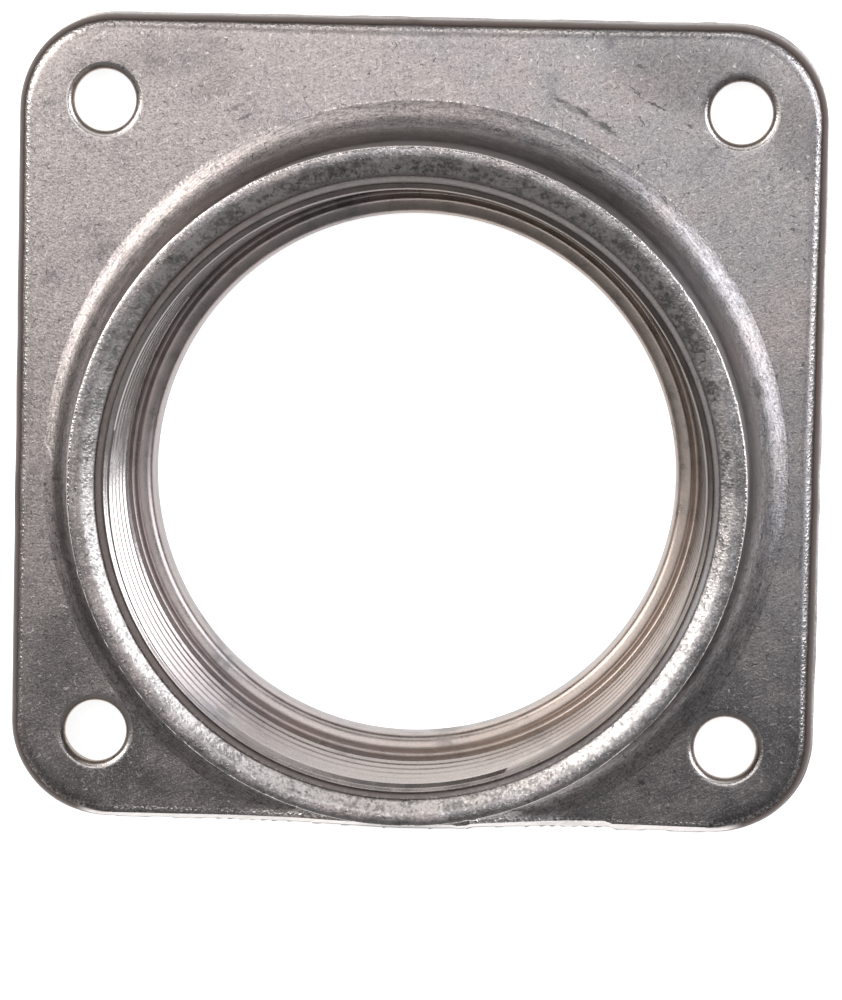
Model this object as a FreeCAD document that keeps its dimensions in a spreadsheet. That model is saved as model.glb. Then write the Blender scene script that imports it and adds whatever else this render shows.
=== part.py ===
import FreeCAD, Part

import math
import os

import Sketcher

# Bolt-on conduit hub, one die casting, in millimetres.
# A square mounting plate with rounded corners carries a round collar that stands off its centre.
# The collar is bored for a conduit thread, ends in a smooth throat, and the plate has four bolt holes.
# The hub lies on its flat back: that face is Z = 0, +Z runs out along the bore,
# the origin is the middle of the bolt pattern and the collar is set towards -Y.

# Driving dimensions: alias, value, meaning
DIMENSIONS = [
    ("plate_width", 79.6, "side of the square plate at its back face"),
    ("plate_thickness", 4.5, "plate, back face to front face"),
    ("corner_radius", 9.6, "rounded corners of the plate at its back face"),
    ("side_draft", 2.0, "draft of the plate's sides, degrees"),
    ("edge_round", 1.1, "rounding of the plate's front edge"),
    ("bolt_spacing", 61.9, "bolt hole to bolt hole, both ways"),
    ("bolt_hole_diameter", 6.0, "clearance holes in the corners"),
    ("bolt_hole_mouth", 0.8, "chamfered mouth of a bolt hole"),
    ("collar_offset", 4.9, "collar axis from the middle of the plate, towards -Y"),
    ("collar_height", 21.0, "back face to the collar's rim"),
    ("rim_radius", 32.1, "outer edge of the rim"),
    ("collar_draft", 2.0, "draft of the collar's outer wall, degrees"),
    ("collar_fillet", 4.8, "sweep from the collar's wall into the plate"),
    ("land_width", 1.7, "flat land of the rim"),
    ("break_width", 0.9, "broken edge between the land and the lead-in"),
    ("break_slope", 25.0, "slope of that broken edge, degrees"),
    ("lead_in_slope", 60.0, "slope of the lead-in down to the thread, degrees"),
    ("thread_bore_radius", 28.2, "bore drilled for the two-inch conduit thread"),
    ("groove_depth", 0.5, "relief groove where the thread ends, cut into the bore's wall"),
    ("lip_height", 4.6, "top of the throat lip that the conduit stops against"),
    ("lip_round", 1.35, "rounding of the lip into the throat"),
    ("throat_radius", 25.5, "smooth throat for the wires"),
    ("throat_back_chamfer", 0.9, "broken edge of the throat at the back face"),
]

FAR_RADIUS = 75.0
CLEAR = 1.0
LIP_RUNS = 3
SIZE = {alias: value for alias, value, meaning in DIMENSIONS}
START, END = 1, 2
ROOT_POINT = (-1, 1)


def make_sheet(document):
    """Put the driving dimensions into a spreadsheet with one alias for each."""
    sheet = document.addObject("Spreadsheet::Sheet", "dimensions")
    for row, (alias, value, meaning) in enumerate(DIMENSIONS, start=1):
        sheet.set(f"A{row}", meaning)
        sheet.set(f"B{row}", str(value))
        sheet.setAlias(f"B{row}", alias)
    document.recompute()
    return sheet


def origin_feature(body, role):
    """Find one of the body's own origin planes or axes."""
    return next(item for item in body.Origin.OriginFeatures if item.Role == role)


def new_sketch(body, name, role):
    """Start a sketch on one of the body's origin planes."""
    sketch = body.newObject("Sketcher::SketchObject", name)
    sketch.AttachmentSupport = [(origin_feature(body, role), "")]
    sketch.MapMode = "FlatFace"
    return sketch


def collar_sketch(body, name):
    """Start a sketch through the collar's axis: its own Y axis is that axis, its X the radius."""
    sketch = new_sketch(body, name, "YZ_Plane")
    sketch.setExpression("AttachmentOffset.Base.x", "-dimensions.collar_offset")
    return sketch


def line(sketch, start, end):
    """Add a straight line between two points of the sketch."""
    segment = Part.LineSegment(FreeCAD.Vector(*start, 0), FreeCAD.Vector(*end, 0))
    return sketch.addGeometry(segment, False)


def arc(sketch, centre, radius, first_angle, last_angle):
    """Add an arc that runs counter-clockwise between two angles in degrees."""
    circle = Part.Circle(FreeCAD.Vector(*centre, 0), FreeCAD.Vector(0, 0, 1), radius)
    piece = Part.ArcOfCircle(circle, math.radians(first_angle), math.radians(last_angle))
    return sketch.addGeometry(piece, False)


def fix(sketch, *values):
    """Add a geometric constraint."""
    return sketch.addConstraint(Sketcher.Constraint(*values))


def drive(sketch, name, expression, *values):
    """Add a dimension and bind it to the spreadsheet."""
    index = sketch.addConstraint(Sketcher.Constraint(*values))
    sketch.renameConstraint(index, name)
    sketch.setExpression(f"Constraints.{name}", expression)


def at_radius(sketch, name, expression, point):
    """Bind a point's distance from the sketch's vertical axis."""
    start_value = sketch.getPoint(*point).x
    drive(sketch, name, expression, "DistanceX", *ROOT_POINT, *point, start_value)


def at_height(sketch, name, expression, point):
    """Bind a point's height above the sketch's horizontal axis."""
    start_value = sketch.getPoint(*point).y
    drive(sketch, name, expression, "DistanceY", *ROOT_POINT, *point, start_value)


def block_outline(body):
    """Rounded square of the plate's back face."""
    sketch = new_sketch(body, "plate_outline", "XY_Plane")
    half = SIZE["plate_width"] / 2
    radius = SIZE["corner_radius"]
    flat = half - radius
    bottom = line(sketch, (-flat, -half), (flat, -half))
    right = line(sketch, (half, -flat), (half, flat))
    top = line(sketch, (flat, half), (-flat, half))
    left = line(sketch, (-half, flat), (-half, -flat))
    sides = [bottom, right, top, left]
    corners = []
    for turn, (x, y) in enumerate([(flat, -flat), (flat, flat), (-flat, flat), (-flat, -flat)]):
        corners.append(arc(sketch, (x, y), radius, 90 * turn - 90, 90 * turn))
    for number, corner in enumerate(corners):
        fix(sketch, "Tangent", sides[number], END, corner, START)
        fix(sketch, "Tangent", corner, END, sides[(number + 1) % 4], START)
    for corner in corners[1:]:
        fix(sketch, "Equal", corners[0], corner)
    fix(sketch, "Horizontal", bottom)
    fix(sketch, "Horizontal", top)
    fix(sketch, "Vertical", right)
    fix(sketch, "Vertical", left)
    drive(sketch, "corner", "dimensions.corner_radius", "Radius", corners[0], radius)
    half_width = "dimensions.plate_width / 2"
    drive(sketch, "to_right", half_width, "DistanceX", *ROOT_POINT, right, START, half)
    drive(sketch, "to_left", half_width, "DistanceX", left, START, *ROOT_POINT, half)
    drive(sketch, "to_top", half_width, "DistanceY", *ROOT_POINT, top, START, half)
    drive(sketch, "to_bottom", half_width, "DistanceY", bottom, START, *ROOT_POINT, half)
    return sketch


def add_block(body):
    """Raise the plate's outline, with its draft, to the height of the rim."""
    block = body.newObject("PartDesign::Pad", "block")
    block.Profile = block_outline(body)
    block.setExpression("Length", "dimensions.collar_height")
    block.setExpression("TaperAngle", "-dimensions.side_draft")


def outside_profile(body):
    """What is cleared round the collar: down its drafted wall, through the sweep and along the plate."""
    sketch = collar_sketch(body, "outside_profile")
    slope = math.radians(SIZE["collar_draft"])
    rim = SIZE["rim_radius"]
    top = SIZE["collar_height"]
    plate = SIZE["plate_thickness"]
    sweep = SIZE["collar_fillet"]
    above = top + CLEAR
    centre_z = plate + sweep
    centre_r = rim + (sweep + (top - centre_z) * math.sin(slope)) / math.cos(slope)
    wall_foot = (centre_r - sweep * math.cos(slope), centre_z - sweep * math.sin(slope))
    riser = line(sketch, (rim, above), (rim, top))
    wall = line(sketch, (rim, top), wall_foot)
    turn = arc(sketch, (centre_r, centre_z), sweep, 180 + SIZE["collar_draft"], 270)
    floor = line(sketch, (centre_r, plate), (FAR_RADIUS, plate))
    far = line(sketch, (FAR_RADIUS, plate), (FAR_RADIUS, above))
    roof = line(sketch, (FAR_RADIUS, above), (rim, above))
    fix(sketch, "Coincident", riser, END, wall, START)
    fix(sketch, "Tangent", wall, END, turn, START)
    fix(sketch, "Tangent", turn, END, floor, START)
    fix(sketch, "Coincident", floor, END, far, START)
    fix(sketch, "Coincident", far, END, roof, START)
    fix(sketch, "Coincident", roof, END, riser, START)
    fix(sketch, "Vertical", riser)
    fix(sketch, "Horizontal", floor)
    fix(sketch, "Vertical", far)
    fix(sketch, "Horizontal", roof)
    drive(sketch, "sweep", "dimensions.collar_fillet", "Radius", turn, sweep)
    drive(sketch, "draft", "dimensions.collar_draft - 90", "Angle", wall, slope - math.pi / 2)
    at_radius(sketch, "rim", "dimensions.rim_radius", (wall, START))
    at_height(sketch, "rim_height", "dimensions.collar_height", (wall, START))
    at_height(sketch, "plate_face", "dimensions.plate_thickness", (floor, END))
    fix(sketch, "DistanceX", *ROOT_POINT, far, START, FAR_RADIUS)
    drive(sketch, "above", f"dimensions.collar_height + {CLEAR}", "DistanceY", *ROOT_POINT, roof, START, above)
    return sketch


def bore_profile(body):
    """The bore from back to front: throat, lip, relief groove, thread bore, lead-in and land.

    The lip's round is drawn as a few straight runs, which keeps the facets few.
    """
    sketch = collar_sketch(body, "bore_profile")
    throat = SIZE["throat_radius"]
    back = SIZE["throat_back_chamfer"]
    lip = SIZE["lip_round"]
    lip_top = SIZE["lip_height"]
    bore = SIZE["thread_bore_radius"]
    groove = SIZE["groove_depth"]
    top = SIZE["collar_height"]
    land = SIZE["rim_radius"] - SIZE["land_width"]
    break_slope = math.radians(SIZE["break_slope"])
    slope = math.radians(SIZE["lead_in_slope"])
    above = top + CLEAR
    wall_foot = lip_top + 2 * groove
    break_r = land - SIZE["break_width"]
    break_z = top - SIZE["break_width"] * math.tan(break_slope)
    mouth_z = break_z - (break_r - bore) * math.tan(slope)

    floor = line(sketch, (0, -CLEAR), (throat + back, -CLEAR))
    entry = line(sketch, (throat + back, -CLEAR), (throat + back, 0))
    back_edge = line(sketch, (throat + back, 0), (throat, back))
    throat_wall = line(sketch, (throat, back), (throat, lip_top - lip))
    lip_points = []
    for step in range(LIP_RUNS + 1):
        turn = math.pi / 2 * step / LIP_RUNS
        lip_points.append((throat + lip * (1 - math.cos(turn)), lip_top - lip * (1 - math.sin(turn))))
    lip_runs = [line(sketch, start, end) for start, end in zip(lip_points, lip_points[1:])]
    shoulder = line(sketch, (throat + lip, lip_top), (bore, lip_top))
    groove_out = line(sketch, (bore, lip_top), (bore + groove, lip_top + groove))
    groove_in = line(sketch, (bore + groove, lip_top + groove), (bore, wall_foot))
    bore_wall = line(sketch, (bore, wall_foot), (bore, mouth_z))
    lead_in = line(sketch, (bore, mouth_z), (break_r, break_z))
    broken_edge = line(sketch, (break_r, break_z), (land, top))
    riser = line(sketch, (land, top), (land, above))
    roof = line(sketch, (land, above), (0, above))
    axis = line(sketch, (0, above), (0, -CLEAR))

    fix(sketch, "Coincident", floor, END, entry, START)
    fix(sketch, "Coincident", entry, END, back_edge, START)
    fix(sketch, "Coincident", back_edge, END, throat_wall, START)
    run = [throat_wall, *lip_runs, shoulder, groove_out, groove_in, bore_wall]
    run += [lead_in, broken_edge, riser, roof, axis, floor]
    for first, second in zip(run, run[1:]):
        fix(sketch, "Coincident", first, END, second, START)
    for upright in (entry, throat_wall, bore_wall, riser, axis):
        fix(sketch, "Vertical", upright)
    for level in (floor, shoulder, roof):
        fix(sketch, "Horizontal", level)
    fix(sketch, "PointOnObject", axis, START, -2)
    fix(sketch, "PointOnObject", entry, END, -1)
    fix(sketch, "DistanceY", axis, END, *ROOT_POINT, CLEAR)
    at_radius(sketch, "throat", "dimensions.throat_radius", (throat_wall, START))
    at_height(sketch, "back_chamfer", "dimensions.throat_back_chamfer", (throat_wall, START))
    fix(sketch, "Angle", back_edge, math.radians(135))
    for number, lip_run in enumerate(lip_runs):
        fix(sketch, "Angle", lip_run, math.pi / 2 * (1 - (number + 0.5) / LIP_RUNS))
    for first, second in zip(lip_runs, lip_runs[1:]):
        fix(sketch, "Equal", first, second)
    drive(sketch, "lip_round", "dimensions.lip_round", "DistanceX", lip_runs[0], START, lip_runs[-1], END, lip)
    at_height(sketch, "lip_top", "dimensions.lip_height", (shoulder, END))
    at_radius(sketch, "bore", "dimensions.thread_bore_radius", (bore_wall, START))
    fix(sketch, "Vertical", shoulder, END, bore_wall, START)
    fix(sketch, "Angle", groove_out, math.radians(45))
    fix(sketch, "Angle", groove_in, math.radians(135))
    drive(sketch, "groove", "dimensions.groove_depth", "DistanceX", groove_out, START, groove_out, END, groove)
    drive(sketch, "slope", "dimensions.lead_in_slope", "Angle", lead_in, slope)
    drive(sketch, "break_slope", "dimensions.break_slope", "Angle", broken_edge, break_slope)
    drive(sketch, "break_width", "dimensions.break_width", "DistanceX", broken_edge, START,
          broken_edge, END, SIZE["break_width"])
    at_radius(sketch, "land", "dimensions.rim_radius - dimensions.land_width", (riser, START))
    at_height(sketch, "rim_height", "dimensions.collar_height", (riser, START))
    drive(sketch, "above", f"dimensions.collar_height + {CLEAR}", "DistanceY", *ROOT_POINT, roof, START, above)
    return sketch


def bolt_hole_profile(body):
    """Half section of one bolt hole with its chamfered mouth, in a plane through its own axis."""
    sketch = new_sketch(body, "bolt_hole_profile", "XZ_Plane")
    sketch.setExpression("AttachmentOffset.Base.x", "dimensions.bolt_spacing / 2")
    sketch.setExpression("AttachmentOffset.Base.z", "-dimensions.bolt_spacing / 2")
    radius = SIZE["bolt_hole_diameter"] / 2
    mouth = SIZE["bolt_hole_mouth"]
    plate = SIZE["plate_thickness"]
    above = plate + CLEAR
    floor = line(sketch, (0, -CLEAR), (radius, -CLEAR))
    wall = line(sketch, (radius, -CLEAR), (radius, plate - mouth))
    chamfer = line(sketch, (radius, plate - mouth), (radius + mouth, plate))
    riser = line(sketch, (radius + mouth, plate), (radius + mouth, above))
    roof = line(sketch, (radius + mouth, above), (0, above))
    axis = line(sketch, (0, above), (0, -CLEAR))
    run = [floor, wall, chamfer, riser, roof, axis, floor]
    for first, second in zip(run, run[1:]):
        fix(sketch, "Coincident", first, END, second, START)
    for upright in (wall, riser, axis):
        fix(sketch, "Vertical", upright)
    fix(sketch, "Horizontal", floor)
    fix(sketch, "Horizontal", roof)
    fix(sketch, "PointOnObject", axis, START, -2)
    fix(sketch, "DistanceY", axis, END, *ROOT_POINT, CLEAR)
    fix(sketch, "Angle", chamfer, math.radians(45))
    at_radius(sketch, "hole", "dimensions.bolt_hole_diameter / 2", (wall, START))
    at_radius(sketch, "mouth", "dimensions.bolt_hole_diameter / 2 + dimensions.bolt_hole_mouth", (riser, START))
    at_height(sketch, "plate_face", "dimensions.plate_thickness", (riser, START))
    drive(sketch, "above", f"dimensions.plate_thickness + {CLEAR}", "DistanceY", *ROOT_POINT, roof, START, above)
    return sketch


def add_groove(body, name, sketch):
    """Turn a profile right round its sketch's vertical axis as a cut."""
    groove = body.newObject("PartDesign::Groove", name)
    groove.Profile = sketch
    groove.ReferenceAxis = (sketch, ["V_Axis"])
    groove.Angle = 360.0
    return groove


def outline_distance(point):
    """How far a point lies outside the drafted outline at its own height."""
    draft = point.z * math.tan(math.radians(SIZE["side_draft"]))
    half = SIZE["plate_width"] / 2 - draft
    radius = SIZE["corner_radius"] - draft
    x = abs(point.x) - half + radius
    y = abs(point.y) - half + radius
    beyond = math.hypot(max(x, 0), max(y, 0))
    return beyond + min(max(x, y), 0) - radius


def is_front_edge(edge):
    """Say whether an edge runs round the outline where the sides meet the front."""
    first, last = edge.ParameterRange
    points = [edge.valueAt(first + (last - first) * part) for part in (0.0, 0.3, 0.5, 0.8, 1.0)]
    low = min(point.z for point in points)
    return low > SIZE["plate_thickness"] - 0.01 and all(abs(outline_distance(point)) < 0.05 for point in points)


def add_edge_round(body, base):
    """Round the plate's front edge, also where the collar's sweep runs into it."""
    names = [f"Edge{number}" for number, edge in enumerate(base.Shape.Edges, start=1) if is_front_edge(edge)]
    rounding = body.newObject("PartDesign::Fillet", "edge_rounding")
    rounding.Base = (base, names)
    rounding.setExpression("Radius", "dimensions.edge_round")
    return rounding


def make_hub(document):
    """Build the casting: block, turned outside, rounded edge, bore and bolt holes."""
    body = document.addObject("PartDesign::Body", "hub_casting")
    body.Label = "hub_casting"
    add_block(body)
    document.recompute()
    outside = add_groove(body, "outside_cut", outside_profile(body))
    document.recompute()
    add_edge_round(body, outside)
    document.recompute()
    add_groove(body, "bore_cut", bore_profile(body))
    document.recompute()
    hole = add_groove(body, "bolt_hole_cut", bolt_hole_profile(body))
    document.recompute()
    holes = body.newObject("PartDesign::PolarPattern", "bolt_holes")
    holes.Originals = [hole]
    holes.Axis = (origin_feature(body, "Z_Axis"), [""])
    holes.Angle = 360.0
    holes.Occurrences = 4
    body.Tip = holes
    document.recompute()
    body.Placement = FreeCAD.Placement()
    return body


def check_document(document):
    """Stop if any object failed to compute."""
    for item in document.Objects:
        if {"Invalid", "Error"} & set(item.State):
            raise RuntimeError(f"{item.Name} failed: {item.State}")


def check_cuts(body):
    """Stop if a cut took nothing away."""
    solids = [item for item in body.Group if item.isDerivedFrom("PartDesign::Feature")]
    for before, after in zip(solids, solids[1:]):
        if not after.Shape.Volume < before.Shape.Volume - 1.0:
            raise RuntimeError(f"{after.Name} cut nothing")


def check_shape(body):
    """Stop unless the sub-part is one valid solid."""
    if body.Shape.isNull() or not body.Shape.isValid():
        raise RuntimeError(f"{body.Label} has no valid shape")
    if len(body.Shape.Solids) != 1:
        raise RuntimeError(f"{body.Label} is not one solid")


def main():
    document = FreeCAD.newDocument("conduit_hub")
    make_sheet(document)
    hub = make_hub(document)
    document.recompute()
    check_document(document)
    check_cuts(hub)
    check_shape(hub)
    os.makedirs("parts", exist_ok=True)
    hub.Shape.exportStep(f"parts/{hub.Label}.step")


main()
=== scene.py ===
"""Conduit hub: the die-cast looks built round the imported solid, laid out as a Blender add-on."""

import math

import bmesh
import bpy
from mathutils import Matrix, Vector, noise


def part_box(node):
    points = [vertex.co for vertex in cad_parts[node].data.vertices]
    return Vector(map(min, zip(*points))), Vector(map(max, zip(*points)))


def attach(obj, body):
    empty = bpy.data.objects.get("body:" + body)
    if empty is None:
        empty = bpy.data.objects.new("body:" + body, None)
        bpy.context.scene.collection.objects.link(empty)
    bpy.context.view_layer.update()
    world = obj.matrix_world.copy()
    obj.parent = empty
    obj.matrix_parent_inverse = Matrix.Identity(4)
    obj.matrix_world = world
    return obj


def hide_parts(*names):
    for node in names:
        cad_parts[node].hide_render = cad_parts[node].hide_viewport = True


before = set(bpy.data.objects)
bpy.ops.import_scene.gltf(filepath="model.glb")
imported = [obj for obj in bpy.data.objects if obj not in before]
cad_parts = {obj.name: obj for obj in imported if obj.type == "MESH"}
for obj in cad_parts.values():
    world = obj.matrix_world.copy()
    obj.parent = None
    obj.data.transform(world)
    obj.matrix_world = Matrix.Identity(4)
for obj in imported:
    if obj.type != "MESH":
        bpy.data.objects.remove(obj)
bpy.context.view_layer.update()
_, CAD_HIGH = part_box("hub_casting")

bl_info = {
    "name": "Conduit hub",
    "version": (1, 0, 0),
    "blender": (4, 5, 0),
    "location": "View3D > Sidebar > Hub",
    "description": "Square die-cast conduit hub with a threaded collar",
    "category": "Add Mesh",
}

MM = 0.001
PIECE = "conduit_hub"
# Columns of the casting and of a bolt hole, all the way round
COLUMNS = 480
HOLE_COLUMNS = 96


def length(label, text, value):
    """A size in metres that a user may change."""
    return bpy.props.FloatProperty(name=label, description=text, default=value, unit="LENGTH", precision=5)


def tint(label, text, value):
    """A colour that a user may change."""
    return bpy.props.FloatVectorProperty(
        name=label, description=text, default=value, size=3, min=0.0, max=1.0, subtype="COLOR"
    )


def level(label, text, value, top=1.0):
    """A plain number that a user may change."""
    return bpy.props.FloatProperty(name=label, description=text, default=value, min=0.0, max=top)


class HubSizes(bpy.types.PropertyGroup):
    """Sizes of the casting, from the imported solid."""

    half_width: length("Half width", "Middle of the plate to its side", CAD_HIGH.x)
    plate_thickness: length("Plate thickness", "Back face to the plate's front", 4.5 * MM)
    corner_radius: length("Corner radius", "Rounding of the plate's corners", 9.6 * MM)
    side_draft: bpy.props.FloatProperty(
        name="Side draft", description="Lean of the plate's sides", default=math.radians(2), subtype="ANGLE"
    )
    edge_round: length("Edge round", "Rounding of the plate's front edge", 1.8 * MM)
    flash_width: length("Flash width", "How far the thin flash stands off the sides", 0.26 * MM)
    bolt_offset: length("Bolt offset", "Middle of the plate to a bolt hole, along each side", 30.95 * MM)
    bolt_hole_radius: length("Bolt hole radius", "Radius of a bolt hole at its neck", 3.0 * MM)
    bolt_hole_back: length("Bolt hole back", "Radius of a bolt hole at the back face", 3.5 * MM)
    bolt_hole_mouth: length("Bolt hole mouth", "Rounding of a bolt hole's mouth", 0.78 * MM)
    collar_y: length("Collar place", "Collar's axis, measured from the middle of the plate", -4.9 * MM)
    rim_height: length("Rim height", "Back face to the rim, less a hair", CAD_HIGH.z - 0.05 * MM)
    rim_radius: length("Rim radius", "Outside radius of the rim", 32.1 * MM)
    flare_radius: length("Flare radius", "Radius of the sweep from the collar to the plate", 5.0 * MM)
    flare_wall: length("Flare wall", "Outside radius of the collar where the sweep begins", 32.54 * MM)
    flare_end: length("Flare end", "Radius at which the sweep meets the plate", 36.45 * MM)
    thread_radius: length("Thread radius", "Radius of the bore at the thread's mouth", 28.3 * MM)
    thread_foot: length("Thread foot", "Radius of the tapered bore at the thread's lower end", 27.9 * MM)
    bore_drift: length("Bore drift", "How far the bore's mouth lies off the collar's axis", 0.33 * MM)
    thread_pitch: length("Thread pitch", "Distance from one thread to the next", 2.209 * MM)
    thread_depth: length("Thread depth", "Depth of the thread near its mouth", 1.15 * MM)
    throat_radius: length("Throat radius", "Radius of the smooth throat", 25.5 * MM)


class HubFinish(bpy.types.PropertyGroup):
    """Colours of the cast metal, and of the shade and highlight painted on it."""

    warm_metal: tint("Warm metal", "Pinkish grey of the casting's skin", (0.56, 0.5, 0.49))
    cool_metal: tint("Cool metal", "Lilac grey of the casting's skin", (0.47, 0.455, 0.475))
    # This dark colour is real stains and also painted shade on the lower plate, in the broad smudges and on
    # the lead-in's upper side
    stain_and_shade: tint("Stain", "Dark rubbed patches", (0.127, 0.124, 0.127))
    # This light colour is metal rubbed bright and also painted highlight on the lower-left side of the
    # thread, ledge and lead-in, and painted glints on the crease's far side
    bare_metal_and_highlight: tint("Bare metal", "Metal rubbed bright along edges", (0.9, 0.86, 0.84))
    # This colour is painted shade on the steep walls, the throat's lower wall, the groove, the thread's right
    # side, the ledge at the lower right and the sweep's left side, not a skin of the metal
    shade: tint("Shade", "Dull skin of steep walls and grooves", (0.13, 0.115, 0.108))
    # This colour is painted shade on the plate's rounded edge and on the steep band under the lead-in, not a
    # skin of the metal
    border_shade: tint("Border", "Dark skin on the plate's rounded edge", (0.095, 0.073, 0.066))
    throat_skin: tint("Throat skin", "Brownish satin skin of the throat's lip", (0.56, 0.475, 0.42))
    roughness: level("Roughness", "Roughness of the casting's skin", 0.34)


class HubStage(bpy.types.PropertyGroup):
    """Floor, lights and camera."""

    floor_colour: tint("Floor colour", "Pale floor under the hub", (0.86, 0.86, 0.86))
    floor_glow: level("Floor glow", "How white the floor shows", 0.86)
    key_power: level("Key power", "Soft light from the upper left, in watts", 1.85, 100.0)
    fill_power: level("Fill power", "Soft light from the upper right, in watts", 1.6, 100.0)
    top_power: level("Top power", "Soft light overhead, in watts", 0.33, 100.0)
    back_power: level("Back power", "Soft light from beyond the plate's far side, in watts", 0.45, 100.0)
    world_level: level("World level", "Even light from all round", 0.16)


# Small helpers for modelling by operators


def start_clean():
    """Leave edit mode and deselect everything."""
    if bpy.context.object and bpy.context.object.mode != "OBJECT":
        bpy.ops.object.mode_set(mode="OBJECT")
    bpy.ops.object.select_all(action="DESELECT")


def pick(piece):
    """Make one object the only selected and the active one."""
    start_clean()
    piece.select_set(True)
    bpy.context.view_layer.objects.active = piece


def edit_all():
    """Enter edit mode with everything selected."""
    bpy.ops.object.mode_set(mode="EDIT")
    bpy.ops.mesh.select_mode(type="VERT")
    bpy.ops.mesh.select_all(action="SELECT")


def select_where(piece, test):
    """In edit mode, select the vertices whose place passes the test."""
    shape = bmesh.from_edit_mesh(piece.data)
    for vert in shape.verts:
        vert.select = test(vert.co)
    shape.select_flush_mode()
    bmesh.update_edit_mesh(piece.data)


def reshape(piece, move):
    """Move every vertex of a piece to the place that a function gives."""
    for vert in piece.data.vertices:
        vert.co = move(vert.co)
    piece.data.update()


def arc(middle_r, middle_z, radius, first, last, steps):
    """Points of a profile along an arc, with angles in degrees."""
    points = []
    for step in range(steps + 1):
        turn = math.radians(first + (last - first) * step / steps)
        points.append((middle_r + radius * math.cos(turn), middle_z + radius * math.sin(turn)))
    return points


def straight(start, end, steps):
    """Points of a profile along a line, without its first point."""
    return [
        (start[0] + (end[0] - start[0]) * k / steps, start[1] + (end[1] - start[1]) * k / steps)
        for k in range(1, steps + 1)
    ]


def sway(place, size, seed):
    """Smooth unevenness from -1 to 1, repeating about every few sizes."""
    start = Vector((seed, 2.3 * seed, 0.7 * seed))
    return noise.noise(Vector((place[0], place[1], place[2])) / size + start)


def lathe(points, axis_y, columns):
    """Extrude a circle ring by ring along a profile round an upright axis."""
    start_clean()
    first_r, first_z = points[0]
    bpy.ops.mesh.primitive_circle_add(
        vertices=columns, radius=first_r, fill_type="NOTHING", location=(0, axis_y, first_z)
    )
    piece = bpy.context.object
    bpy.ops.object.transform_apply(location=True, rotation=True, scale=True)
    edit_all()
    last_r, last_z = first_r, first_z
    for r, z in points[1:]:
        bpy.ops.mesh.extrude_region_move(TRANSFORM_OT_translate={"value": (0, 0, z - last_z)})
        if abs(r - last_r) > 1e-9:
            bpy.ops.transform.resize(value=(r / last_r, r / last_r, 1), center_override=(0, axis_y, z))
        last_r, last_z = r, z
    bpy.ops.object.mode_set(mode="OBJECT")
    return piece


def close_ends():
    """Fill the active cutter's open ends and turn its faces outward."""
    edit_all()
    bpy.ops.mesh.fill_holes(sides=0)
    bpy.ops.mesh.select_all(action="SELECT")
    bpy.ops.mesh.normals_make_consistent(inside=False)
    bpy.ops.object.mode_set(mode="OBJECT")


def apply_cut(piece, cutter):
    """Take a cutter's shape out of a piece and delete the cutter."""
    pick(piece)
    cut = piece.modifiers.new("cut", "BOOLEAN")
    cut.operation = "DIFFERENCE"
    cut.solver = "EXACT"
    cut.object = cutter
    bpy.ops.object.modifier_apply(modifier=cut.name)
    bpy.data.objects.remove(cutter)


# The casting's profile, as points of radius and height

# Height of the thread's lower end, and depth of its mouth below the rim
THREAD_FOOT = 5.4 * MM
THREAD_DROP = 2.95 * MM
# Round of the throat's back edge
BACK_ROUND = 0.9 * MM
# Top of the flash line above the back, and the width of its rings before they are pushed out
FLASH_TOP = 0.6 * MM
FLASH_STEP = 0.2 * MM
# Half length of the cut facet along the lower side, and the place of the step in it
FACET_REACH = 33 * MM
FACET_STEP = 20.3 * MM


def flare_arc(s):
    """Middle of the sweep's arc as radius and height, and the angle at which it meets the plate."""
    middle_r = s.flare_wall + s.flare_radius
    rest = math.acos((s.flare_end - middle_r) / s.flare_radius)
    return middle_r, s.plate_thickness + s.flare_radius * math.sin(rest), 360 - math.degrees(rest)


def collar_profile(s):
    """From the throat's back edge up the bore, over the rim and down the outside to the flare's foot."""
    throat, top = s.throat_radius, s.rim_height
    points = arc(throat + BACK_ROUND, BACK_ROUND, BACK_ROUND, 270, 180, 5)
    points += straight(points[-1], (throat, 3.53 * MM), 3)
    points += arc(throat + 1.0 * MM, 3.53 * MM, 1.0 * MM, 180, 104, 9)[1:]
    lip = ((26.5, 4.55), (26.75, 4.59), (26.93, 4.6), (27.05, 4.57), (27.15, 4.48), (27.24, 4.36))
    groove = ((27.36, 4.26), (27.52, 4.23), (27.68, 4.3), (27.8, 4.5), (27.86, 4.85))
    points += [(r * MM, z * MM) for r, z in lip + groove]
    points += [(s.thread_foot, THREAD_FOOT)]
    points += straight(points[-1], (s.thread_radius, top - THREAD_DROP), 6)
    ledge = ((28.5, 2.66), (28.6, 2.6), (28.82, 2.56), (28.9, 2.5))
    lead_in = (
        (28.95, 2.34), (29.03, 2.02), (29.13, 1.68), (29.24, 1.36), (29.35, 1.08), (29.44, 0.88),
        (29.54, 0.75), (29.72, 0.63), (30.0, 0.48), (30.28, 0.33), (30.54, 0.2), (30.76, 0.11),
        (31.0, 0.05), (31.28, 0.015), (31.6, 0.0),
    )
    points += [(r * MM, top - drop * MM) for r, drop in ledge + lead_in]
    rim_edge = ((0.16, 0.0), (0.05, 0.05), (0.0, 0.16))
    points += [(s.rim_radius - back * MM, top - drop * MM) for back, drop in rim_edge]
    middle_r, middle_z, last = flare_arc(s)
    points += straight(points[-1], (s.flare_wall, middle_z), 9)
    points += arc(middle_r, middle_z, s.flare_radius, 180, last - 1, 16)[1:]
    points += [(s.flare_end, s.plate_thickness)]
    return points


def drift(s, r, z):
    """How far the cut bore has run off the collar's axis at a place."""
    rise = min(max((z - THREAD_FOOT) / (13 * MM), 0.0), 1.0)
    fade = min(max((29.8 * MM - r) / (0.85 * MM), 0.0), 1.0)
    return s.bore_drift * rise * fade


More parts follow.
